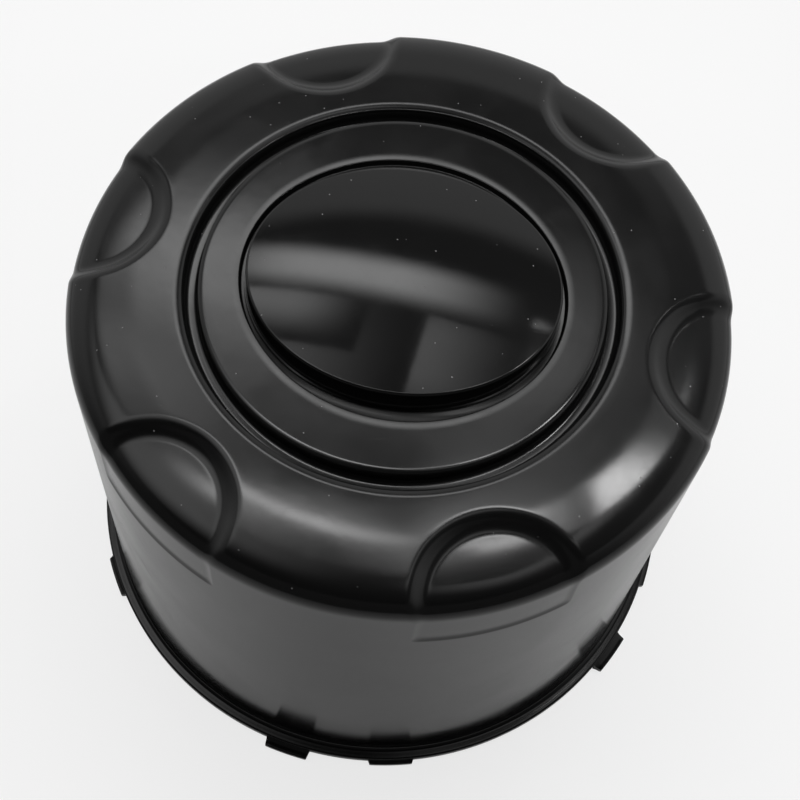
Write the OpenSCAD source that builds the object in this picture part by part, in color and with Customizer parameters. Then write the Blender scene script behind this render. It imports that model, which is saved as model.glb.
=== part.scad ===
// Wheel centre cap: one moulded shell that is pushed through the wheel from behind,
// and an oval domed badge, left blank, bonded into a shallow pocket in its top.
// Millimetres. The origin is the centre of the flange's underside, +Z is the cap's axis,
// and X runs along the pocket's long axis, through the middle of one scallop.

/* [Cap] */
// Height of the flat top disc above the flange's underside
cap_h = 79.5; // [60:0.5:110]
// Diameter of the side wall at its foot, which fills the wheel's bore
skirt_d = 108.4; // [104:0.2:118]
// Slope of the side wall from the vertical, in degrees
draft = 3.1; // [1.5:0.1:4.5]
// Thickness of the moulded wall
wall = 2.4; // [1.8:0.1:3]

/* [Top disc and groove] */
// Width of the shoulder, from the top of the side wall in to the round groove
shoulder_w = 17.1; // [16:0.1:19]
// Width of the round groove between the shoulder and the flat disc in the middle
groove_w = 2.3; // [1.2:0.1:3]
// Depth of the round groove
groove_depth = 2; // [1:0.1:2.2]

/* [Shoulder] */
// Width of the flat crown between the groove and the falling shoulder
crown_w = 6.1; // [4:0.1:7]
// Radius of the soft rounding between the flat crown and the falling shoulder
crown_round = 25; // [15:1:30]
// Slope of the shoulder, in degrees
shoulder_slope = 8.5; // [6:0.5:11]
// Radius of the rounded rim between the shoulder and the side wall
rim_r = 1.3; // [1:0.1:2.5]

/* [Scallops] */
// Number of scallops round the shoulder
scallops = 6; // [3:1:8]
// How far the scallops' centres lie outside the top of the side wall
scallop_out = 0; // [-1:0.1:2]
// Radius of a scallop's lip, seen from above
scallop_r = 12.3; // [10:0.1:13]
// Depth of a scallop's floor below the flat crown
scallop_depth = 2.3; // [1.5:0.1:2.6]
// Slope of a scallop's inner wall from the horizontal, in degrees
scallop_bank = 42; // [35:1:60]
// How far each scallop is sunk into the side wall
relief = 0.3; // [0.2:0.05:0.6]
// Height of that sunk patch, measured down from the top disc
relief_h = 12.5; // [8:0.5:20]
// Width of that sunk patch, as an angle of the wall in degrees
relief_angle = 26; // [20:1:28]

/* [Flange] */
// How far the flange that stops the cap behind the wheel stands out from the side wall
flange_w = 2.2; // [1.8:0.1:6]
// Thickness of the flange
flange_t = 2; // [1.5:0.1:3]
// Radius of the fillet between the side wall and the flange
foot_fillet = 1; // [0.5:0.1:1.2]
// Number of pairs of locating nibs on the flange's edge
nib_pairs = 5; // [1:1:5]
// Angle from one pair of nibs to the next, in degrees
nib_pitch = 70; // [66:0.5:72]
// Angle between the two nibs of a pair, in degrees
nib_split = 20; // [12:0.5:30]
// Angle from the X axis to the middle of the first nib, in degrees
nib_start = -163; // [-180:1:180]
// Length of a nib along the flange's edge
nib_l = 8.2; // [4:0.2:10]
// Reach of the longer nib of a pair past the flange
nib_long = 1.7; // [1:0.1:3]
// Reach of the shorter nib of a pair past the flange
nib_short = 0.8; // [0.4:0.1:1]

/* [Badge] */
// Width of the flat disc left beyond the ends of the badge's pocket
land_l = 6; // [5.4:0.1:10]
// Width of the flat disc left beyond the long sides of the badge's pocket
land_w = 8.1; // [7:0.1:12]
// Depth of the pocket below the top disc
pocket_depth = 1.2; // [0.6:0.1:1.6]
// Gap from the badge's rim to the pocket's edge at the ends
gap_l = 1; // [0.6:0.1:3]
// Gap from the badge's rim to the pocket's edge at the long sides
gap_w = 3; // [1.8:0.1:5]
// How far the badge's side spreads at its foot, at the ends
badge_spread_l = 0.3; // [0:0.05:0.4]
// How far the badge's side spreads at its foot, at the long sides
badge_spread_w = 1; // [0:0.1:1.4]
// Turn of the badge in its pocket, in degrees
badge_turn = 5.6; // [-6:0.1:6]
// Height of the badge's rim above the top disc
badge_rise = 2.1; // [1:0.1:4]
// Height of the dome above the badge's rim
dome_h = 3; // [1:0.1:5]
// Radius of the badge's rounded rim
badge_edge_r = 0.5; // [0.3:0.1:0.9]

/* [Hidden] */
$fn = 120;
eps = 0.02;
skirt_r = skirt_d / 2;
flange_r = skirt_r + flange_w;
// Radius of the side wall's cone where it would reach the height of the top disc
top_r = skirt_r - (cap_h - flange_t) * tan(draft);
groove_r = top_r - shoulder_w;
disc_r = groove_r - groove_w;
crown_r = groove_r + crown_w;
scallop_floor_z = cap_h - scallop_depth;
pocket_z = cap_h - pocket_depth;
pocket_a = disc_r - land_l;
pocket_b = disc_r - land_w;
// Radius of the pocket outline's ends, as a share of its half length
pocket_end_share = 0.83;
// A hollow is kept this far below its neighbour's level so that no two faces coincide
under = 0.3;
// Concave radius at the foot of a scallop's inner wall and convex radius at its lip
scallop_foot_r = 2;
scallop_lip_r = 0.8;
// A rounding stands this far proud of the faces that it joins, so that they cross cleanly
proud = 0.01;
// The same for a scallop's lip, which also has to stand clear above the crown's rounding
lip_proud = 0.04;
// Slope of the ramp from a scallop's floor up to the rim, in degrees
ramp_slope = 15;
// Smallest radius left on the inside of the rounded rim
inner_rim_r = 0.6;
// Chamfer on the flange's top edge
flange_chamfer = 0.4;
// How far the nibs' tops lie below the flange's top
nib_drop = 0.6;
badge_rim_z = cap_h + badge_rise;

// End of the crown's rounding, where the straight shoulder begins
function crown_end(inset, top) =
    let (r = crown_round - inset)
    [crown_r + r * sin(shoulder_slope), top - r * (1 - cos(shoulder_slope))];
// The rounded rim of the body that lies `inset` inside the outer surface and whose crown
// is at height `top`: [centre radius, centre height, radius of the rounding]
function rim_arc(inset, top) =
    let (r = max(rim_r - inset, inner_rim_r),
         start = crown_end(inset, top),
         fall = tan(shoulder_slope),
         lean = tan(draft),
         a = skirt_r - inset / cos(draft) + (flange_t - r * sin(draft)) * lean - r * cos(draft),
         z = (start[1] - r * cos(shoulder_slope) - fall * (a + r * sin(shoulder_slope) - start[0]))
             / (1 - fall * lean))
    [a - z * lean, z, r];
// Radius of the side wall, `inset` inside its outer face, at height z
function wall_r(inset, z) = skirt_r - inset / cos(draft) - (z - flange_t) * tan(draft);
// A point on a rim arc where the surface slopes down by `slope`
function on_rim(arc, slope) = [arc[0] + arc[2] * sin(slope), arc[1] + arc[2] * cos(slope)];

// Half section of the plain body: side wall, rounded rim, falling shoulder and flat crown
module body_section(inset) {
    top = cap_h - inset;
    arc = rim_arc(inset, top);
    start = crown_end(inset, top);
    polygon([[0, 0], [wall_r(inset, 0), 0], on_rim(arc, 90 - draft), on_rim(arc, shoulder_slope),
             start, [crown_r, top], [0, top]]);
    translate([arc[0], arc[1]]) circle(arc[2] + proud);
    intersection() {
        translate([crown_r, top - crown_round + inset]) circle(crown_round - inset + proud);
        translate([crown_r - rim_r, start[1] - rim_r]) square([start[0] - crown_r + 2 * rim_r, 2 * rim_r]);
    }
}

// Half section of the lower body that the scallops uncover: a floor, a ramp and a rim
module floor_section(inset) {
    arc = rim_arc(inset + relief, cap_h - inset - relief);
    low = scallop_floor_z - inset - under;
    ramp = on_rim(arc, -ramp_slope);
    ramp_foot = ramp[0] - (ramp[1] - low) / tan(ramp_slope);
    polygon([[0, 0], [wall_r(inset + relief, 0), 0], on_rim(arc, 90 - draft), ramp,
             [ramp_foot, low], [0, low]]);
    translate([arc[0], arc[1]]) circle(arc[2] + proud);
}

// Half section of one scallop about its own upright axis: floor, banked wall and lip
module scallop_section(inset) {
    lip_r = scallop_lip_r + inset;
    foot_r = max(scallop_foot_r - inset, inner_rim_r);
    top = cap_h - inset;
    floor_z = scallop_floor_z - inset;
    lip = scallop_r + inset;
    lip_in = lip - lip_r * sin(scallop_bank);
    lip_z = top - lip_r * (1 - cos(scallop_bank));
    foot_z = floor_z + foot_r * (1 - cos(scallop_bank));
    foot_out = lip_in - (lip_z - foot_z) / tan(scallop_bank);
    foot_in = foot_out - foot_r * sin(scallop_bank);
    difference() {
        polygon([[0, floor_z], [foot_in, floor_z], [foot_out, foot_z], [lip_in, lip_z], [lip, top],
                 [lip, top + wall], [0, top + wall]]);
        translate([lip, top - lip_r]) circle(lip_r + lip_proud);
    }
    translate([foot_in, floor_z + foot_r]) circle(foot_r + proud);
}

// Everything that one scallop takes away: the pocket and the sunk patch below it
module scallop_cut(inset) {
    half = relief_angle / 2 + inset / skirt_r * 180 / PI;
    arc = rim_arc(inset + relief, cap_h - inset - relief);
    translate([top_r + scallop_out, 0, 0]) rotate_extrude() scallop_section(inset);
    rotate([0, 0, -half]) rotate_extrude(angle = 2 * half)
        translate([arc[0], cap_h - relief_h - inset])
            square([skirt_r - arc[0], relief_h]);
}

// An oval of four arcs, given by its half length, half width and end radius
module oval(a, b, end_r) {
    side_r = ((a - end_r) * (a - end_r) + b * b - end_r * end_r) / (2 * (b - end_r));
    tangent_x = (a - end_r) * side_r / (side_r - end_r);
    intersection() {
        translate([0, b - side_r]) circle(side_r, $fn = 360);
        translate([0, side_r - b]) circle(side_r, $fn = 360);
        square([2 * tangent_x, 2 * b + 1], center = true);
    }
    for (end = [-1, 1]) translate([end * (a - end_r), 0]) circle(end_r);
}

// The cap's outer form, or with an inset the space inside its moulded wall
module cap_form(inset) {
    rotate_extrude() floor_section(inset);
    difference() {
        rotate_extrude() body_section(inset);
        for (i = [0 : scallops - 1]) rotate([0, 0, i * 360 / scallops]) scallop_cut(inset);
        rotate_extrude() translate([disc_r - inset, cap_h - groove_depth - inset])
            square([groove_w + 2 * inset, groove_depth + wall]);
        translate([0, 0, pocket_z - inset]) linear_extrude(height = wall + pocket_depth)
            oval(pocket_a + inset, pocket_b + inset, pocket_a * pocket_end_share + inset);
    }
}

// Half section of the flange, with a chamfered top edge and a fillet up to the side wall
module flange_section() {
    fillet_x = wall_r(0, flange_t + foot_fillet) + foot_fillet;
    difference() {
        polygon([[skirt_r - wall, 0], [flange_r, 0], [flange_r, flange_t - flange_chamfer],
                 [flange_r - flange_chamfer, flange_t], [fillet_x, flange_t],
                 [fillet_x - foot_fillet, flange_t + foot_fillet],
                 [skirt_r - wall, flange_t + foot_fillet]]);
        translate([fillet_x, flange_t + foot_fillet]) circle(foot_fillet + proud);
    }
}

// One locating nib, centred on the X axis: a short arc of the flange that reaches further out
module nib(reach) {
    angle = nib_l / flange_r * 180 / PI;
    rotate([0, 0, -angle / 2]) rotate_extrude(angle = angle) translate([flange_r - wall, 0])
        square([reach + wall, flange_t - nib_drop]);
}

module cap_shell() {
    color("#141416") difference() {
        union() {
            cap_form(0);
            rotate_extrude() flange_section();
            for (i = [0 : nib_pairs - 1]) rotate([0, 0, nib_start + i * nib_pitch]) {
                nib(nib_long);
                rotate([0, 0, nib_split]) nib(nib_short);
            }
        }
        translate([0, 0, -eps]) cap_form(wall);
    }
}

// One ring of points of the badge: half length a, half width b, height z
badge_steps = 96;
function ring(a, b, z) =
    [for (i = [0 : badge_steps - 1]) let (t = i * 360 / badge_steps) [a * cos(t), b * sin(t), z]];
dome_rings = 10;
edge_rings = 4;
edge_turn = 75;

module badge() {
    a = pocket_a - gap_l;
    b = pocket_b - gap_w;
    // the rounded rim turns from upright to edge_turn degrees, and the dome rises from there
    edge = [for (i = [0 : edge_rings]) let (t = i * edge_turn / edge_rings)
        [badge_edge_r * (1 - cos(t)), badge_rim_z - badge_edge_r + badge_edge_r * sin(t)]];
    last = edge[edge_rings];
    rings = concat(
        [ring(a + badge_spread_l, b + badge_spread_w, pocket_z)],
        [for (e = edge) ring(a - e[0], b - e[0], e[1])],
        [for (i = [1 : dome_rings - 1]) let (k = cos(i * 90 / dome_rings), h = sin(i * 90 / dome_rings))
            ring((a - last[0]) * k, (b - last[0]) * k, last[1] + dome_h * (1 - k * k))]);
    count = len(rings);
    points = concat([for (r = rings) each r], [[0, 0, last[1] + dome_h]]);
    sides = [for (j = [0 : count - 2]) for (i = [0 : badge_steps - 1])
        let (n = (i + 1) % badge_steps, p = j * badge_steps)
        [p + i, p + badge_steps + i, p + badge_steps + n, p + n]];
    crown = [for (i = [0 : badge_steps - 1]) let (p = (count - 1) * badge_steps)
        [p + i, count * badge_steps, p + (i + 1) % badge_steps]];
    color("#0c0c0e") rotate([0, 0, badge_turn])
        polyhedron(points, concat([[for (i = [0 : badge_steps - 1]) i]], sides, crown), convexity = 4);
}

cap_shell();
badge();
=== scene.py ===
import bmesh
import bpy
import math
import numpy as np
from mathutils import Matrix, Vector


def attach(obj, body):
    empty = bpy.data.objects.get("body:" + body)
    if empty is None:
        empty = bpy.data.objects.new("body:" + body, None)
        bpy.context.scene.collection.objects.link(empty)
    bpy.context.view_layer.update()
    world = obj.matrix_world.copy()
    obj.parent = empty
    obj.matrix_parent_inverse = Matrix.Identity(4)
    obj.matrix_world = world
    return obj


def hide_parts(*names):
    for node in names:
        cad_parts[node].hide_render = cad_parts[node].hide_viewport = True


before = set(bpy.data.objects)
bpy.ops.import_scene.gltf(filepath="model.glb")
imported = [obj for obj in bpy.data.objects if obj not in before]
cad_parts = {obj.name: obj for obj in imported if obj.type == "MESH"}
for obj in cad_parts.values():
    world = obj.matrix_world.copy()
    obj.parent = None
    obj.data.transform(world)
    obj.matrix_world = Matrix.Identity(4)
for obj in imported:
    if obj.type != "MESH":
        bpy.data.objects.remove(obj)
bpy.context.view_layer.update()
MM = 0.001
rad, sin, cos, tan = math.radians, math.sin, math.cos, math.tan


# the photograph's camera: its turn about the cap's axis, then its directions and its place in millimetres
CAM_TURN = rad(11.6)
CAM_AHEAD, CAM_UP = (0.0, 0.42964, -0.90300), (-0.07318, 0.90058, 0.42849)
CAM_PLACE = (-4.449, -94.208, 231.309)
# the frame's side, the focal length and the point that the camera looks at, in the photograph's pixels
FRAME_PX, FOCAL_PX, MIDDLE_X, MIDDLE_Y = 800, 1192.41, 364.06, 414.38
SENSOR = 36


def make_camera():
    data = bpy.data.cameras.new("camera")
    cam = bpy.data.objects.new("camera", data)
    bpy.context.scene.collection.objects.link(cam)
    turn = Matrix.Rotation(CAM_TURN, 3, "Z")
    ahead = turn @ Vector(CAM_AHEAD)
    up = turn @ Vector(CAM_UP)
    right = ahead.cross(up).normalized()
    up = right.cross(ahead).normalized()
    m = Matrix((right, up, -ahead)).transposed().to_4x4()
    m.translation = turn @ Vector(CAM_PLACE) * MM
    cam.matrix_world = m
    data.sensor_width = SENSOR
    data.lens = FOCAL_PX / FRAME_PX * SENSOR
    data.shift_x = (FRAME_PX / 2 - MIDDLE_X) / FRAME_PX
    data.shift_y = (MIDDLE_Y - FRAME_PX / 2) / FRAME_PX
    data.clip_start = 0.01
    data.clip_end = 20
    bpy.context.scene.camera = cam


make_camera()

# sizes in millimetres: the part's, with its rim, shoulder and dome rounded as softly as in the photograph
CAP_H, SKIRT_R, DRAFT, WALL = 79.5, 54.2, rad(2.9), 2.4
FLANGE_T, FLANGE_R, FILLET = 2.0, 56.39, 1.0
NIB_SHORT, NIB_LONG, NIB_L = 0.78, 1.68, 8.2
# in degrees: the middle of the first shorter nib, the step to the next, and that to the longer one
NIB_FIRST, NIB_PITCH, NIB_SPLIT = -143.0, 70.0, 50.0
TOP_R = SKIRT_R - (CAP_H - FLANGE_T) * tan(DRAFT)
GROOVE_R, DISC_R, GROOVE_D = TOP_R - 17.4, TOP_R - 17.4 - 2.3, 3.0
CROWN_R, CROWN_ROUND, SLOPE = GROOVE_R + 6.1, 40.0, rad(3)
ROLL_R, ROLL, ROLL_END, RIM_R = 44.7, 12.0, rad(20), 3.4
SC_C, SC_R, SC_D, BANK = TOP_R - 0.3, 12.3, 1.35, rad(36)
FLOOR_R, FLOOR_ROUND, FLOOR_SLOPE = 41.3, 40.0, rad(6)
FLOOR_ROLL_R, FLOOR_ROLL, FLOOR_RIM = 45.6, 10.0, 3.0
HUB = (43.0, 68.0)
RELIEF, RELIEF_H, RELIEF_HALF = 0.25, 12.5, 13.3
POCKET_A, POCKET_B, POCKET_D = DISC_R - 6.0, DISC_R - 8.1, 1.2
POCKET_END = POCKET_A * 0.83
BADGE_TURN, BADGE_RISE, DOME_H = 5.6, 2.1, 1.5
SECTORS = 6
HALF = 180.0 / SECTORS


def smooth_min(a, b, k):
    h = np.clip(0.5 + 0.5 * (b - a) / k, 0, 1)
    return b + (a - b) * h - k * h * (1 - h)


def smooth_max(a, b, k):
    return -smooth_min(-a, -b, k)


def ease(x, lo, hi):
    u = np.clip((x - lo) / (hi - lo), 0, 1)
    return u * u * (3 - 2 * u)


def wall_radius(z, inset=0.0):
    """Radius of the side wall at height z, or of the face that lies inset inside it."""
    return SKIRT_R - inset / cos(DRAFT) - (z - FLANGE_T) * tan(DRAFT)


class Profile:
    """Half section of a body: flat crown, soft rounding, gentle fall, roll, round rim and side wall."""

    def __init__(self, inset, start_r, crown_r, top, big, slope, roll_r, roll, rim):
        self.start_r, self.crown_r, self.top = start_r, crown_r, top
        self.big, self.slope, self.roll, self.r = big, slope, roll, rim
        self.p = (crown_r + big * sin(slope), top - big * (1 - cos(slope)))
        # the rim is an arc against the side wall; the radius where the roll starts moves until the two meet
        for _ in range(30):
            self.q = (roll_r, self.p[1] - (roll_r - self.p[0]) * tan(slope))
            end_r = self.q[0] + roll * (sin(ROLL_END) - sin(slope))
            end_z = self.q[1] - roll * (cos(slope) - cos(ROLL_END))
            self.cz = end_z - rim * cos(ROLL_END)
            self.cr = wall_radius(self.cz + rim * sin(DRAFT), inset) - rim * cos(DRAFT)
            roll_r += self.cr + rim * sin(ROLL_END) - end_r
        self.t = (self.cr + rim * cos(DRAFT), self.cz + rim * sin(DRAFT))
        lengths = [crown_r - start_r, big * slope, math.dist(self.p, self.q), roll * (ROLL_END - slope),
                   rim * (math.pi / 2 - DRAFT - ROLL_END)]
        # the arc lengths at which one stretch gives way to the next
        self.s = np.concatenate([[0], np.cumsum(lengths)])
        self.line_s = np.linspace(0, self.s[5], 4000)
        self.line_r = self.at(self.line_s)[0]

    def at(self, s):
        """Radius and height at arc length s from start_r."""
        s = np.asarray(s, float)
        s0, s1, s2, s3, s4, s5 = self.s
        r, z = np.empty_like(s), np.empty_like(s)
        m = s < s1
        r[m], z[m] = self.start_r + s[m], self.top
        m = (s >= s1) & (s < s2)
        f = (s[m] - s1) / self.big
        r[m], z[m] = self.crown_r + self.big * np.sin(f), self.top - self.big * (1 - np.cos(f))
        m = (s >= s2) & (s < s3)
        r[m], z[m] = self.p[0] + (s[m] - s2) * cos(self.slope), self.p[1] - (s[m] - s2) * sin(self.slope)
        m = (s >= s3) & (s < s4)
        f = self.slope + (s[m] - s3) / self.roll
        r[m] = self.q[0] + self.roll * (np.sin(f) - sin(self.slope))
        z[m] = self.q[1] - self.roll * (cos(self.slope) - np.cos(f))
        m = (s >= s4) & (s < s5)
        f = ROLL_END + (s[m] - s4) / self.r
        r[m], z[m] = self.cr + self.r * np.sin(f), self.cz + self.r * np.cos(f)
        m = s >= s5
        r[m], z[m] = self.t[0] + (s[m] - s5) * sin(DRAFT), self.t[1] - (s[m] - s5) * cos(DRAFT)
        return r, z

    def s_of_r(self, r):
        """Arc length at which the top of the form has radius r, up to just inside the wall."""
        r = np.asarray(r, float)
        edge = self.cr + 0.985 * self.r
        beyond = np.interp(np.minimum(r, edge), self.line_r, self.line_s)
        return np.where(r < self.crown_r, r - self.start_r, beyond)

    def s_of_z(self, z):
        return self.s[5] + (self.t[1] - z) / cos(DRAFT)


class Body:
    """The cap's outer form, or the hollow that lies inset inside it, plain and sunk in by a scallop."""

    def __init__(self, inset, start_r):
        self.inset, self.top, self.start_r = inset, CAP_H - inset, start_r
        self.plain = Profile(inset, start_r, CROWN_R, self.top, CROWN_ROUND - inset, SLOPE,
                             ROLL_R - inset, ROLL - inset, max(RIM_R - inset, 0.6))
        self.low = Profile(inset + RELIEF, start_r, FLOOR_R, self.top - SC_D, FLOOR_ROUND - inset,
                           FLOOR_SLOPE, FLOOR_ROLL_R - inset, FLOOR_ROLL - inset,
                           max(FLOOR_RIM - inset, 0.8))
        self.outer, self.s = self.plain.at, self.plain.s
        self.s_of_r, self.s_of_z = self.plain.s_of_r, self.plain.s_of_z
        self.low_r, self.low_z = self.low.at(np.linspace(0, self.low.s[5] + 12, 3000))

    def sunk(self, s):
        """The sunk form's point below the plain form's: straight down, inwards, or towards the hub."""
        r, z = self.outer(s)
        r1, z1 = r.copy(), z.copy()
        m = r <= HUB[0]
        z1[m] = np.interp(r[m], self.low_r, self.low_z)
        m = z <= HUB[1]
        r1[m] = r[m] - RELIEF / cos(DRAFT)
        m = (r > HUB[0]) & (z > HUB[1])
        way = np.arctan2(self.low_z - HUB[1], self.low_r - HUB[0])
        far = np.hypot(self.low_z - HUB[1], self.low_r - HUB[0])
        k = (self.low_r > HUB[0]) & (self.low_z > HUB[1] - 1)
        turn = np.arctan2(z[m] - HUB[1], r[m] - HUB[0])
        d = np.interp(-turn, -way[k], far[k])
        r1[m], z1[m] = HUB[0] + d * np.cos(turn), HUB[1] + d * np.sin(turn)
        return r1, z1


class Soup:
    """Vertices and faces, gathered piece by piece."""

    def __init__(self):
        self.v, self.f, self.n = [], [], 0

    def add(self, verts, faces):
        verts = np.asarray(verts, float).reshape(-1, 3)
        self.v.append(verts)
        self.f += [tuple(int(i) + self.n for i in f) for f in faces]
        self.n += len(verts)

    def grid(self, p, flip=False, closed=False):
        """A grid of points p[row, column]; closed joins the last column to the first."""
        rows, cols = p.shape[:2]
        last = cols if closed else cols - 1
        faces = []
        for i in range(rows - 1):
            for j in range(last):
                k = (j + 1) % cols
                q = (i * cols + j, i * cols + k, (i + 1) * cols + k, (i + 1) * cols + j)
                faces.append(q[::-1] if flip else q)
        self.add(p, faces)

    def mesh(self, name, weld=0.002):
        v, f = np.concatenate(self.v), self.f
        me = bpy.data.meshes.new(name)
        me.from_pydata((v * MM).tolist(), [], f)
        bm = bmesh.new()
        bm.from_mesh(me)
        bmesh.ops.remove_doubles(bm, verts=bm.verts, dist=weld * MM)
        bmesh.ops.dissolve_degenerate(bm, dist=1e-7, edges=bm.edges)
        bmesh.ops.recalc_face_normals(bm, faces=bm.faces)
        bm.to_mesh(me)
        bm.free()
        me.update()
        return me


def polar(r, t, z):
    return np.stack([r * np.cos(t), r * np.sin(t), np.broadcast_to(z, np.shape(r * t))], -1)


def scallop_half(b, fine):
    """Half of one sector of the shoulder, as a grid of (s, t in degrees, share of the sunk depth).

    Columns follow the scallop's outline from its tip, round the pocket and down the sunk patch.
    Rows run from the scallop's middle, across its bank, to the next sector.
    """
    rho, inset = SC_R + b.inset, b.inset
    a_end = math.pi / 2 - math.asin(rho / SC_C)
    n_top = int(34 * fine)
    n_rim, n_wall = int(12 * fine), int(5 * fine)
    a = np.linspace(0, a_end, n_top + 1)
    n_edge = int(n_top * 0.45)
    low_z = CAP_H - RELIEF_H - inset + 2.2
    s_low = float(b.s_of_z(low_z))
    band = np.array([-1.0, -0.75, -0.55, -0.4, -0.27, -0.14, 0, 0.14, 0.27, 0.4, 0.55, 0.75, 1.0, 1.3, 1.6,
                     1.9, 2.2, 2.5, 2.75, 3.0, 3.25, 3.5, 3.8, 4.2, 4.6])
    if fine < 0.8:
        band = band[::2]
    n_core, n_out = max(4, int(9 * fine)), max(5, int(13 * fine))
    core, out = np.linspace(0, 1, n_core + 1)[:-1], (np.arange(1, n_out + 1) / n_out) ** 1.15

    def on_circle(a, d):
        x, y = SC_C - (rho - d) * np.cos(a), (rho - d) * np.sin(a)
        return b.s_of_r(np.hypot(x, y)), np.degrees(np.arctan2(y, x))

    side0 = math.degrees(math.asin(rho / SC_C))
    s_tan = float(b.s_of_r(np.array([math.sqrt(SC_C ** 2 - rho ** 2)]))[0])
    s_wall0 = b.s[5] + 1.5
    down = np.concatenate([s_tan + (s_wall0 - s_tan) * np.arange(1, n_rim + 1) / n_rim,
                           s_wall0 + (s_low - s_wall0) * np.arange(1, n_wall + 1) / n_wall])
    half_deg = RELIEF_HALF + math.degrees(inset / SKIRT_R)
    S, T, D, Q = [], [], [], []
    s_last, t_last = on_circle(np.full(band.size, a_end), band)
    for i in range(n_top + 1 + down.size):
        if i <= n_top:
            sb, tb = on_circle(np.full(band.size, a[i]), band)
            q = 1.0
            if i <= n_edge:
                border = (0.0, HALF * i / n_edge)
            else:
                border = (s_tan * (i - n_edge) / (n_top - n_edge), HALF)
            ctr = sb[-1]
        else:
            s = down[i - n_top - 1]
            g = float(ease(s, s_tan, s_wall0))
            q = 1 - 0.72 * g
            side = side0 + (half_deg - side0) * g
            r_here = float(b.outer(np.array([s]))[0][0])
            sb = s + (s_last - s_tan) * (1 - g) * (1 - (s - s_tan) / (s_wall0 - s_tan) if s < s_wall0 else 0)
            tb = side - np.degrees(band * q / r_here)
            tb = tb * g + (t_last + (side - side0)) * (1 - g)
            border = (s, HALF)
            ctr = sb[-1]
        s_row = np.concatenate([np.full(core.size, ctr), sb[::-1], sb[0] + (border[0] - sb[0]) * out])
        t_row = np.concatenate([tb[-1] * core, tb[::-1], tb[0] + (border[1] - tb[0]) * out])
        d_row = np.concatenate([np.full(core.size, 9.0), band[::-1] * q, np.full(out.size, -9.0)])
        S.append(s_row)
        T.append(t_row)
        D.append(d_row)
        Q.append(np.full(s_row.size, q))
    return np.array(S), np.array(T), np.array(D), np.array(Q), low_z


def share(b, s, d, q):
    """How much of the sunk depth shows, at distance d inside the scallop's outline."""
    r0, z0 = b.outer(s)
    r1, z1 = b.sunk(s)
    h = np.hypot(r0 - r1, z0 - z1)
    w = 0.9 * q
    slope = tan(BANK) * q + 0.35 * (1 - q)
    bank = np.where(d < -w, 0, np.where(d > w, slope * d, slope * (d + w) ** 2 / (4 * w)))
    k = 0.2 + 0.5 * h
    depth = smooth_min(h, bank, k)
    depth = np.where(d > 8, h, np.where(d <= -w, 0, np.clip(depth, 0, h)))
    return depth / h, (r0, z0, r1, z1)


def shoulder(b, fine):
    """The whole scalloped band. Returns its soup, the angles of its lowest ring and that ring's height."""
    soup = Soup()
    S, T, D, Q, low_z = scallop_half(b, fine)
    lam, (r0, z0, r1, z1) = share(b, S, D, Q)
    r, z = r0 + (r1 - r0) * lam, z0 + (z1 - z0) * lam
    # the lower end of the sunk patch, down to its ledge
    t_row, d_row, q_row = T[-1], D[-1], Q[-1]
    ledge = CAP_H - RELIEF_H - b.inset
    steps = np.array([1.6, 1.1, 0.8, 0.6, 0.45, 0.32, 0.2, 0.1, 0, -0.1, -0.2, -0.32, -0.6, -1.2])
    if fine < 0.8:
        steps = steps[::2]
    zz = np.concatenate([[low_z], ledge + steps, [ledge - 3.0]])
    tt, z_grid = np.meshgrid(t_row, zz)
    s_grid = b.s_of_z(z_grid)
    side = np.broadcast_to(d_row, z_grid.shape)
    both = smooth_min(side, z_grid - ledge, 1.0)
    both = np.where(side > 8, z_grid - ledge, np.where(z_grid - ledge > 2.1, side, both))
    qq = np.broadcast_to(q_row, z_grid.shape)
    lam2, (a0, b0, a1, b1) = share(b, s_grid, both, qq)
    r2, z2 = a0 + (a1 - a0) * lam2, b0 + (b1 - b0) * lam2
    up = polar(r, np.radians(T), z)
    low = polar(r2, np.radians(tt), z2)
    for k in range(SECTORS):
        for sign in (1, -1):
            for g, flip in ((up, sign < 0), (low, sign < 0)):
                p = g.copy()
                p[..., 1] *= sign
                c, s_ = cos(k * 2 * math.pi / SECTORS), sin(k * 2 * math.pi / SECTORS)
                p = np.stack([p[..., 0] * c - p[..., 1] * s_, p[..., 0] * s_ + p[..., 1] * c, p[..., 2]], -1)
                soup.grid(p, flip)
    n_edge = int(int(34 * fine) * 0.45)
    ring = np.sort(np.unique(np.round(np.concatenate(
        [sg * t_row + k * 2 * HALF for k in range(SECTORS) for sg in (1, -1)]) % 360, 6)))
    return soup, ring, ledge - 3.0, n_edge * 2 * SECTORS


def zipper(soup, p, q, flip=False):
    """Joins two closed rings of points, given with rising angles from 0 to 360 degrees."""
    ap = np.degrees(np.arctan2(p[:, 1], p[:, 0])) % 360
    aq = np.degrees(np.arctan2(q[:, 1], q[:, 0])) % 360
    p, q = p[np.argsort(ap)], q[np.argsort(aq)]
    ap, aq = np.sort(ap), np.sort(aq)
    n, m = len(p), len(q)
    i = j = 0
    faces = []
    while i < n or j < m:
        nxt_p = ap[(i + 1) % n] + (360 if i + 1 >= n else 0)
        nxt_q = aq[(j + 1) % m] + (360 if j + 1 >= m else 0)
        if j >= m or (i < n and nxt_p <= nxt_q):
            f = (i % n, (i + 1) % n, n + j % m)
            i += 1
        else:
            f = (i % n, n + (j + 1) % m, n + j % m)
            j += 1
        faces.append(f[::-1] if flip else f)
    soup.add(np.concatenate([p, q]), faces)


def arc(cx, cz, r, a0, a1, n, wide=None):
    """Points of an arc, or of an ellipse that is r high and wide across."""
    t = np.radians(np.linspace(a0, a1, n))
    return [(cx + (wide or r) * cos(x), cz + r * sin(x)) for x in t]


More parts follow.
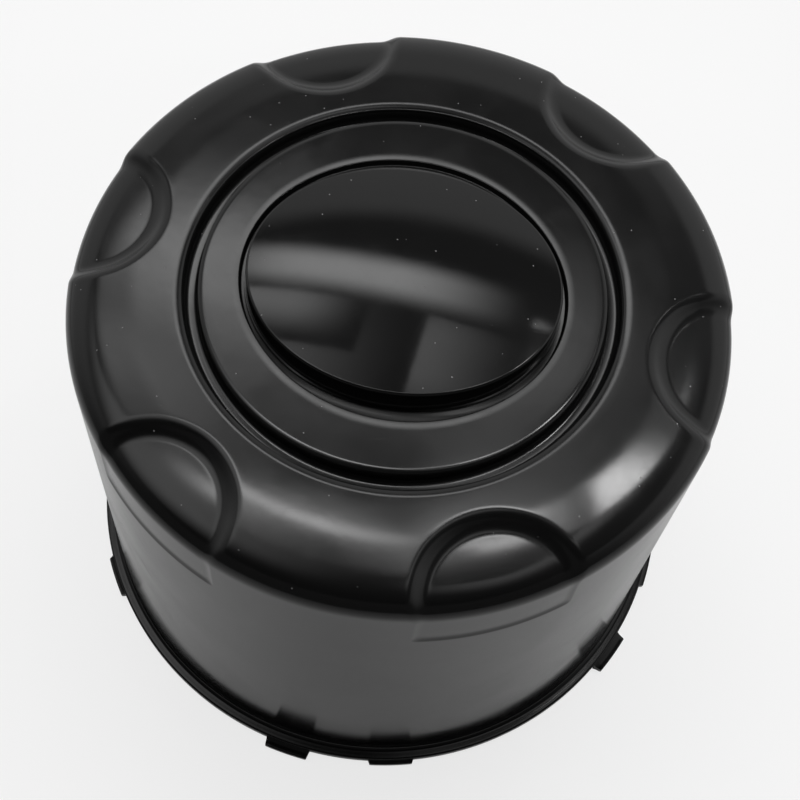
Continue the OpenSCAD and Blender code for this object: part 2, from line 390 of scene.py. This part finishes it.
def revolve(profile, angles):
    prof = np.asarray(profile, float)
    t = np.radians(np.asarray(angles))
    return np.stack([np.outer(prof[:, 0], np.cos(t)), np.outer(prof[:, 0], np.sin(t)),
                     np.repeat(prof[:, 1:2], t.size, 1)], -1)


def oval(a, b, end_r, angles):
    """Radius of a four-arc oval at each angle, in degrees."""
    side_r = ((a - end_r) ** 2 + b * b - end_r * end_r) / (2 * (b - end_r))
    t = np.radians(angles)
    c, s = np.abs(np.cos(t)), np.abs(np.sin(t))
    k = a - end_r
    root = np.sqrt(np.maximum(end_r ** 2 - (k * s) ** 2, 0))
    end = k * c + root
    e = side_r - b
    side = -e * s + np.sqrt(side_r ** 2 - (e * c) ** 2)
    x_t = k * side_r / (side_r - end_r)
    return np.where(end * c >= x_t, end, side)


def top_centre(soup, b, count, outer_form):
    """Groove, flat disc and badge pocket, from the scalloped band in to the axis."""
    ang = np.arange(count) * 360.0 / count
    top, i = b.top, b.inset
    if outer_form:
        g0, g1, gd, foot = GROOVE_R, DISC_R, top - GROOVE_D, 0.85
        lip_w, lip_h, edge_w, edge_h = 1.5, 0.55, 0.95, 0.4
        prof = [(b.start_r, top)]
        prof += arc(g0 + lip_w, top - lip_h, lip_h, 90, 180, 15, lip_w)
        prof += arc(g0 - foot, gd + foot, foot, 0, -90, 8)
        prof += arc(g1 + foot, gd + foot, foot, -90, -180, 8)
        prof += arc(g1 - edge_w, top - edge_h, edge_h, 0, 90, 13, edge_w)
        last, sharp, heel = g1 - edge_w, 0.22, 0.25
    else:
        g0, g1, gd, bend = GROOVE_R + i, DISC_R - i, top - GROOVE_D, 0.4
        prof = [(b.start_r, top)] + arc(g0 + bend, top - bend, bend, 90, 180, 4)
        prof += arc(g0 - bend, gd + bend, bend, 0, -90, 4)
        prof += arc(g1 + bend, gd + bend, bend, -90, -180, 4)
        prof += arc(g1 - bend, top - bend, bend, 0, 90, 4)
        last, sharp, heel = g1 - bend, 0.2, 0.2
    rows = revolve(prof, ang)
    # the pocket: from the disc over its sharp edge, down its wall, round its heel and across its floor
    ro = oval(POCKET_A + i, POCKET_B + i, POCKET_END + i, ang)
    t = np.radians(ang)

    def ring(r, z):
        return np.stack([r * np.cos(t), r * np.sin(t), np.full(t.size, z)], -1)

    more = []
    n = 5 if outer_form else 2
    for k in range(1, n + 1):
        more.append(ring(last + (ro + sharp - last) * k / n, top))
    for x in (22.5, 45, 67.5, 90):
        more.append(ring(ro + sharp * (1 - sin(rad(x))), top - sharp * (1 - cos(rad(x)))))
    for x in (0, 30, 60, 90):
        more.append(ring(ro - heel * (1 - cos(rad(x))), top - POCKET_D + heel * (1 - sin(rad(x)))))
    for k in (0.85, 0.6, 0.3):
        more.append(ring((ro - heel) * k, top - POCKET_D))
    soup.grid(np.concatenate([rows, np.stack(more)], 0), False, True)
    centre = np.array([[0, 0, top - POCKET_D]])
    soup.add(np.concatenate([more[-1], centre]), [(k, (k + 1) % count, count) for k in range(count)])


def build_shell():
    soup = Soup()
    start = GROOVE_R + 2.5
    out = Body(0.0, start)
    band, ring, z_low, count = shoulder(out, 1.0)
    soup.add(np.concatenate(band.v), band.f)
    top_centre(soup, out, count, True)
    # side wall down to the flange, with lines at the ends of the nibs
    span = math.degrees(NIB_L / FLANGE_R)
    first = NIB_FIRST - span / 2
    nibs = [(first + k * NIB_PITCH, NIB_SHORT) for k in range(5)]
    nibs += [(first + NIB_SPLIT + k * NIB_PITCH, NIB_LONG) for k in range(4)]
    lines = [float(x) for x in range(360)]
    soft = 0.45
    for a0, _ in nibs:
        lines = [x for x in lines if not (-0.9 < ((x - a0 + 180) % 360 - 180) < 0.9)
                 and not (-0.9 < ((x - a0 - span + 180) % 360 - 180) < 0.9)]
        for e in (a0, a0 + span):
            lines += [(e - soft / 2) % 360, (e - soft / 4) % 360, e % 360, (e + soft / 4) % 360,
                      (e + soft / 2) % 360]
    lines = np.sort(np.unique(np.round(lines, 5)))

    def reach_at(angles):
        """How far a nib stands out from the flange's edge at each angle."""
        got = np.zeros(angles.size)
        for a0, reach in nibs:
            x = (angles - a0 + 180) % 360 - 180
            rise = ease(x, -soft / 2, soft / 2)
            fall = ease(x, span - soft / 2, span + soft / 2)
            got = np.maximum(got, reach * rise * (1 - fall))
        return got

    wall_z = (60.0, 40.0, 20.0, 8.0)
    upper = revolve([(wall_radius(z_low), z_low)], ring)[0]
    middle = revolve([(wall_radius(wall_z[0]), wall_z[0])], lines)[0]
    zipper(soup, upper, middle, True)
    zf = FLANGE_T + FILLET
    fx = wall_radius(zf) + FILLET
    edge, drop = 0.4, 0.6
    prof = [(wall_radius(z), z) for z in wall_z] + arc(fx, zf, FILLET, 180, 270, 9)
    prof.append((fx + (FLANGE_R - edge - fx) * 0.5, FLANGE_T))
    p_in = revolve(prof, lines)
    reach = reach_at(lines)
    t = np.radians(lines)

    def edge_ring(r, z):
        return np.stack([r * np.cos(t), r * np.sin(t), z * np.ones(t.size)], -1)

    on = np.clip(reach / NIB_SHORT, 0, 1)
    rows = []
    for x in (90, 67.5, 45, 22.5):
        rows.append(edge_ring(FLANGE_R - edge + edge * cos(rad(x)), FLANGE_T - edge + edge * sin(rad(x))))
    rows.append(edge_ring(FLANGE_R, FLANGE_T - edge - (drop - edge) * on))
    zt = FLANGE_T - drop
    nib_edge = 0.25
    for x in (90, 60, 30, 0):
        rr = FLANGE_R + np.maximum(reach - nib_edge * (1 - cos(rad(x))), 0)
        z_nib = zt - nib_edge + nib_edge * sin(rad(x))
        rows.append(edge_ring(rr, (FLANGE_T - edge) * (1 - on) + z_nib * on))
    # the rounded lower edge
    foot, foot_cut = 0.25, 0.07
    rows.append(edge_ring(FLANGE_R + reach, foot))
    rows.append(edge_ring(FLANGE_R + reach - foot_cut, foot_cut))
    foot_ring = edge_ring(FLANGE_R + reach - foot, 0)
    rows.append(foot_ring)
    soup.grid(np.concatenate([p_in, np.stack(rows)], 0), True, True)
    # the hollow inside
    ins = Body(WALL, GROOVE_R + WALL + 0.9)
    band, ring_in, z_in, count_in = shoulder(ins, 0.5)
    soup.add(np.concatenate(band.v), [f[::-1] for f in band.f])
    inner = Soup()
    top_centre(inner, ins, count_in, False)
    soup.add(np.concatenate(inner.v), [f[::-1] for f in inner.f])
    even = np.arange(240) * 1.5
    join_z, base_r = 50.0, 54.0
    upper = revolve([(wall_radius(z_in, WALL), z_in)], ring_in)[0]
    middle = revolve([(wall_radius(join_z, WALL), join_z)], even)[0]
    zipper(soup, upper, middle)
    # the hollow's wall, its rounded mouth, and the underside out to the flange's foot
    prof = [(wall_radius(z, WALL), z) for z in (join_z, 20.0, 0.4)]
    prof += [(wall_radius(0.15, WALL) + 0.1, 0.1), (wall_radius(0, WALL) + 0.35, 0.0), (base_r, 0.0)]
    soup.grid(revolve(prof, even), False, True)
    zipper(soup, revolve([(base_r, 0.0)], even)[0], foot_ring)
    return soup.mesh("cap")


def build_badge():
    """The oval domed insert: tapering side, rounded rim and a smooth dome."""
    soup = Soup()
    n = 240
    t = np.arange(n) * 2 * math.pi / n
    a, b = POCKET_A - 1.0, POCKET_B - 3.0
    z0, z1 = CAP_H - POCKET_D, CAP_H + BADGE_RISE
    edge, turn = 0.5, 75

    def ring(a, b, z):
        return np.stack([a * np.cos(t), b * np.sin(t), np.full(n, z)], -1)

    rows = [ring(a * k, b * k, z0) for k in (0.25, 0.5, 0.75)]
    rows.append(ring(a + 0.1, b + 0.8, z0))
    rows.append(ring(a + 0.3, b + 1.0, z0 + 0.12))
    for k in (0.25, 0.5, 0.75):
        rows.append(ring(a + 0.3 * (1 - k), b + 1.0 * (1 - k), z0 + 0.12 + (z1 - edge - z0 - 0.12) * k))
    for x in np.linspace(0, turn, 9):
        inwards = edge * (1 - cos(rad(x)))
        rows.append(ring(a - inwards, b - inwards, z1 - edge + edge * sin(rad(x))))
    e = edge * (1 - cos(rad(turn)))
    zt = z1 - edge + edge * sin(rad(turn))
    steps = 40
    for k in range(1, steps):
        f = k / steps * math.pi / 2
        rows.append(ring((a - e) * cos(f), (b - e) * cos(f), zt + DOME_H * sin(f) ** 2))
    p = np.stack(rows)
    soup.grid(p, False, True)
    soup.add(np.concatenate([p[-1], [[0, 0, zt + DOME_H]]]), [(k, (k + 1) % n, n) for k in range(n)])
    soup.add(np.concatenate([p[0], [[0, 0, z0]]]), [((k + 1) % n, k, n) for k in range(n)])
    me = soup.mesh("badge_dome")
    me.transform(Matrix.Rotation(rad(BADGE_TURN), 4, "Z"))
    return me


def place(me, name, node, mat):
    ob = bpy.data.objects.new(name, me)
    bpy.context.scene.collection.objects.link(ob)
    me.materials.append(mat)
    for poly in me.polygons:
        poly.use_smooth = True
    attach(ob, "root")
    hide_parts(node)


def math_node(nt, operation, a, b, clamp=False):
    """The result of a Math node, of sockets or numbers."""
    new = nt.nodes.new("ShaderNodeMath")
    new.operation = operation
    new.use_clamp = clamp
    for socket, value in zip(new.inputs, (a, b)):
        if isinstance(value, bpy.types.NodeSocket):
            nt.links.new(value, socket)
        else:
            socket.default_value = value
    return new.outputs[0]


def gloss_black(name, base, rough, peel, scratch, dust_share):
    """Moulded gloss black plastic, with orange peel, fine scratches, smears and a few specks of dust.

    rough is the roughness where clean and where smeared. peel is the size and height of the orange peel,
    and scratch is the length, width and height of the scratches, in millimetres.
    """
    m = bpy.data.materials.new(name)
    m.use_nodes = True
    nt = m.node_tree

    def node(kind, **values):
        """A new node, with its sockets set or linked by name."""
        new = nt.nodes.new("ShaderNode" + kind)
        for key, value in values.items():
            socket = new.inputs[key.replace("_", " ")]
            if isinstance(value, bpy.types.NodeSocket):
                nt.links.new(value, socket)
            else:
                socket.default_value = value
        return new

    def ramp(value, low, high, start, end):
        return node("MapRange", Value=value, From_Min=low, From_Max=high, To_Min=start, To_Max=end).outputs[0]

    where = nt.nodes.new("ShaderNodeTexCoord").outputs["Object"]
    peel_size, peel_height = peel
    length, width, scratch_height = scratch
    # scratches: noise drawn out along three directions, of which only the peaks show
    lines = None
    for turn in (18, 75, 141):
        drawn = nt.nodes.new("ShaderNodeMapping")
        drawn.vector_type = "TEXTURE"
        drawn.inputs["Rotation"].default_value = (0, 0, rad(turn))
        drawn.inputs["Scale"].default_value = (length * MM, width * MM, length * MM)
        nt.links.new(where, drawn.inputs["Vector"])
        noise = node("TexNoise", Vector=drawn.outputs[0], Scale=1.0, Detail=0.0).outputs[0]
        one = ramp(noise, 0.75, 0.83, 0, 1)
        lines = math_node(nt, "MAXIMUM", lines, one) if lines else one
    # dust: a few cells of a cell pattern hold a speck, on what faces up
    cells = node("TexVoronoi", Vector=where, Scale=1 / (1.2 * MM))
    lot = node("SeparateColor", Color=cells.outputs["Color"]).outputs[0]
    facing = node("SeparateXYZ", Vector=nt.nodes.new("ShaderNodeNewGeometry").outputs["Normal"]).outputs[2]
    chosen = ramp(lot, 1 - dust_share, 1.01 - dust_share, 0, 1)
    speck = math_node(nt, "MULTIPLY", ramp(cells.outputs["Distance"], 0.06, 0.11, 1, 0), chosen)
    speck = math_node(nt, "MULTIPLY", speck, ramp(facing, 0.5, 0.8, 0, 1))
    smear = node("TexNoise", Vector=where, Scale=1 / (14 * MM), Detail=4.0, Distortion=0.6).outputs[0]
    gloss = math_node(nt, "ADD", ramp(smear, 0.35, 0.7, *rough), ramp(lines, 0, 1, 0, 0.05))
    gloss = math_node(nt, "ADD", gloss, ramp(speck, 0, 1, 0, 0.5))
    grain = node("TexNoise", Vector=where, Scale=1 / (peel_size * MM), Detail=1.0).outputs[0]
    skin = node("Bump", Height=grain, Distance=peel_height * MM)
    cut = node("Bump", Height=lines, Distance=scratch_height * MM, Normal=skin.outputs[0])
    cut.invert = True
    shader = nt.nodes["Principled BSDF"]
    shader.inputs["IOR"].default_value = 1.5
    shader.inputs["Specular IOR Level"].default_value = 0.31
    nt.links.new(ramp(speck, 0, 1, base, 0.14), shader.inputs["Base Color"])
    nt.links.new(gloss, shader.inputs["Roughness"])
    nt.links.new(cut.outputs[0], shader.inputs["Normal"])
    return m


shell_mat = gloss_black("shell_black", 0.003, (0.13, 0.19), (1.8, 0.004), (7, 0.07, 0.0002), 0.1)
badge_mat = gloss_black("badge_black", 0.0025, (0.05, 0.09), (4.0, 0.003), (7, 0.07, 0.0003), 0.14)
place(build_shell(), "cap", "cap_shell", shell_mat)
place(build_badge(), "badge_dome", "badge", badge_mat)


def soft_edge(data, edge):
    """Fades a lamp's strength to nothing over the given share of its size, at all four sides."""
    data.use_nodes = True
    nt = data.node_tree
    geo = nt.nodes.new("ShaderNodeNewGeometry")
    split = nt.nodes.new("ShaderNodeSeparateXYZ")
    nt.links.new(geo.outputs["Parametric"], split.inputs[0])
    fades = []
    for axis in range(2):
        off = math_node(nt, "SUBTRACT", split.outputs[axis], 0.5)
        fade = nt.nodes.new("ShaderNodeMapRange")
        fade.interpolation_type = "SMOOTHSTEP"
        fade.inputs["From Min"].default_value = 0.5
        fade.inputs["From Max"].default_value = 0.5 - edge
        nt.links.new(math_node(nt, "ABSOLUTE", off, 0.0), fade.inputs["Value"])
        fades.append(fade.outputs[0])
    nt.links.new(math_node(nt, "MULTIPLY", *fades), nt.nodes["Emission"].inputs["Strength"])


def panel(name, x, y, w, h, radiance, z=600, turn=0, edge=0.4):
    """A soft box that faces down, in millimetres: its radiance falls to half at the size w by h."""
    data = bpy.data.lights.new(name, "AREA")
    data.shape = "RECTANGLE"
    full_w, full_h = w / (1 - edge), h / (1 - edge)
    data.size, data.size_y = full_w * MM, full_h * MM
    data.energy = radiance * math.pi * full_w * full_h * MM * MM
    soft_edge(data, edge)
    ob = bpy.data.objects.new(name, data)
    ob.location = (x * MM, y * MM, z * MM)
    ob.rotation_euler = (0, 0, rad(turn))
    ob.visible_camera = False
    bpy.context.scene.collection.objects.link(ob)


def make_light():
    level = 1.45
    panel("key", -130, 300, 340, 85, 4.6 * level)
    panel("key_left", -230, 225, 180, 130, 2.4 * level)
    panel("fill_left", -270, 40, 330, 330, 1.3 * level)
    panel("fill_centre", -60, 150, 260, 190, 1.7 * level)
    panel("fill_right", 150, 60, 150, 260, 1.2 * level)
    panel("strip", 95, 267, 130, 42, 9 * level, turn=3)
    panel("window", 212, 228, 34, 120, 16 * level, turn=-8, edge=0.15)
    # low strips that only the near and right part of the shoulder mirrors
    panel("low_near", -14, -18, 46, 9, 9 * level, z=150, turn=-3)
    panel("low_middle", 25, -11, 32, 9, 10 * level, z=150, turn=20)
    panel("low_right", 51, 4, 26, 9, 19 * level, z=150, turn=42)
    w = bpy.data.worlds.new("world")
    bpy.context.scene.world = w
    w.use_nodes = True
    nt = w.node_tree
    nt.nodes.clear()
    out = nt.nodes.new("ShaderNodeOutputWorld")
    bg = nt.nodes.new("ShaderNodeBackground")
    co = nt.nodes.new("ShaderNodeTexCoord")
    sep = nt.nodes.new("ShaderNodeSeparateXYZ")
    nt.links.new(co.outputs["Generated"], sep.inputs[0])

    def ramp(axis, low, high, value_low, value_high):
        """A smooth step of one direction component."""
        step = nt.nodes.new("ShaderNodeMapRange")
        step.interpolation_type = "SMOOTHSTEP"
        ends = (low, high, value_low, value_high)
        for key, value in zip(("From Min", "From Max", "To Min", "To Max"), ends):
            step.inputs[key].default_value = value
        nt.links.new(sep.outputs[axis], step.inputs["Value"])
        return step

    # a pale room up to 43 degrees above the floor, darker behind the camera, and a dark ceiling
    height = ramp(2, sin(rad(43)), sin(rad(48)), 0.62, 0.1)
    side = ramp(1, -0.45, 0.35, 0.12, 1.0)
    both = math_node(nt, "MULTIPLY", height.outputs[0], side.outputs[0])
    lit = math_node(nt, "MULTIPLY", both, level)
    # the camera sees the room as plain white
    ray = nt.nodes.new("ShaderNodeLightPath")
    nt.links.new(math_node(nt, "MAXIMUM", lit, ray.outputs["Is Camera Ray"]), bg.inputs["Strength"])
    nt.links.new(bg.outputs[0], out.inputs[0])
    bg.inputs["Color"].default_value = (1, 1, 1, 1)


def make_floor():
    """A plain pale floor, which the camera and the gloss see as nearly white, with the object's shadow."""
    me = bpy.data.meshes.new("floor")
    s = 3.0
    me.from_pydata([(-s, -s, 0), (s, -s, 0), (s, s, 0), (-s, s, 0)], [], [(0, 1, 2, 3)])
    ob = bpy.data.objects.new("floor", me)
    bpy.context.scene.collection.objects.link(ob)
    m = bpy.data.materials.new("floor")
    m.use_nodes = True
    nt = m.node_tree
    b = nt.nodes["Principled BSDF"]
    b.inputs["Base Color"].default_value = (0.9, 0.9, 0.9, 1)
    b.inputs["Roughness"].default_value = 0.9
    b.inputs["Specular IOR Level"].default_value = 0.1
    ray = nt.nodes.new("ShaderNodeLightPath")
    glow = nt.nodes.new("ShaderNodeEmission")
    glow.inputs["Strength"].default_value = 1.0
    gloss = math_node(nt, "MULTIPLY", ray.outputs["Is Glossy Ray"], 0.2)
    seen = math_node(nt, "ADD", ray.outputs["Is Camera Ray"], gloss)
    seen = math_node(nt, "ADD", seen, ray.outputs["Is Transmission Ray"], clamp=True)
    mix = nt.nodes.new("ShaderNodeMixShader")
    nt.links.new(math_node(nt, "MULTIPLY", seen, 0.75), mix.inputs[0])
    nt.links.new(b.outputs[0], mix.inputs[1])
    nt.links.new(glow.outputs[0], mix.inputs[2])
    nt.links.new(mix.outputs[0], nt.nodes["Material Output"].inputs[0])
    me.materials.append(m)


make_floor()
make_light()
bpy.context.scene.view_settings.view_transform = "Standard"
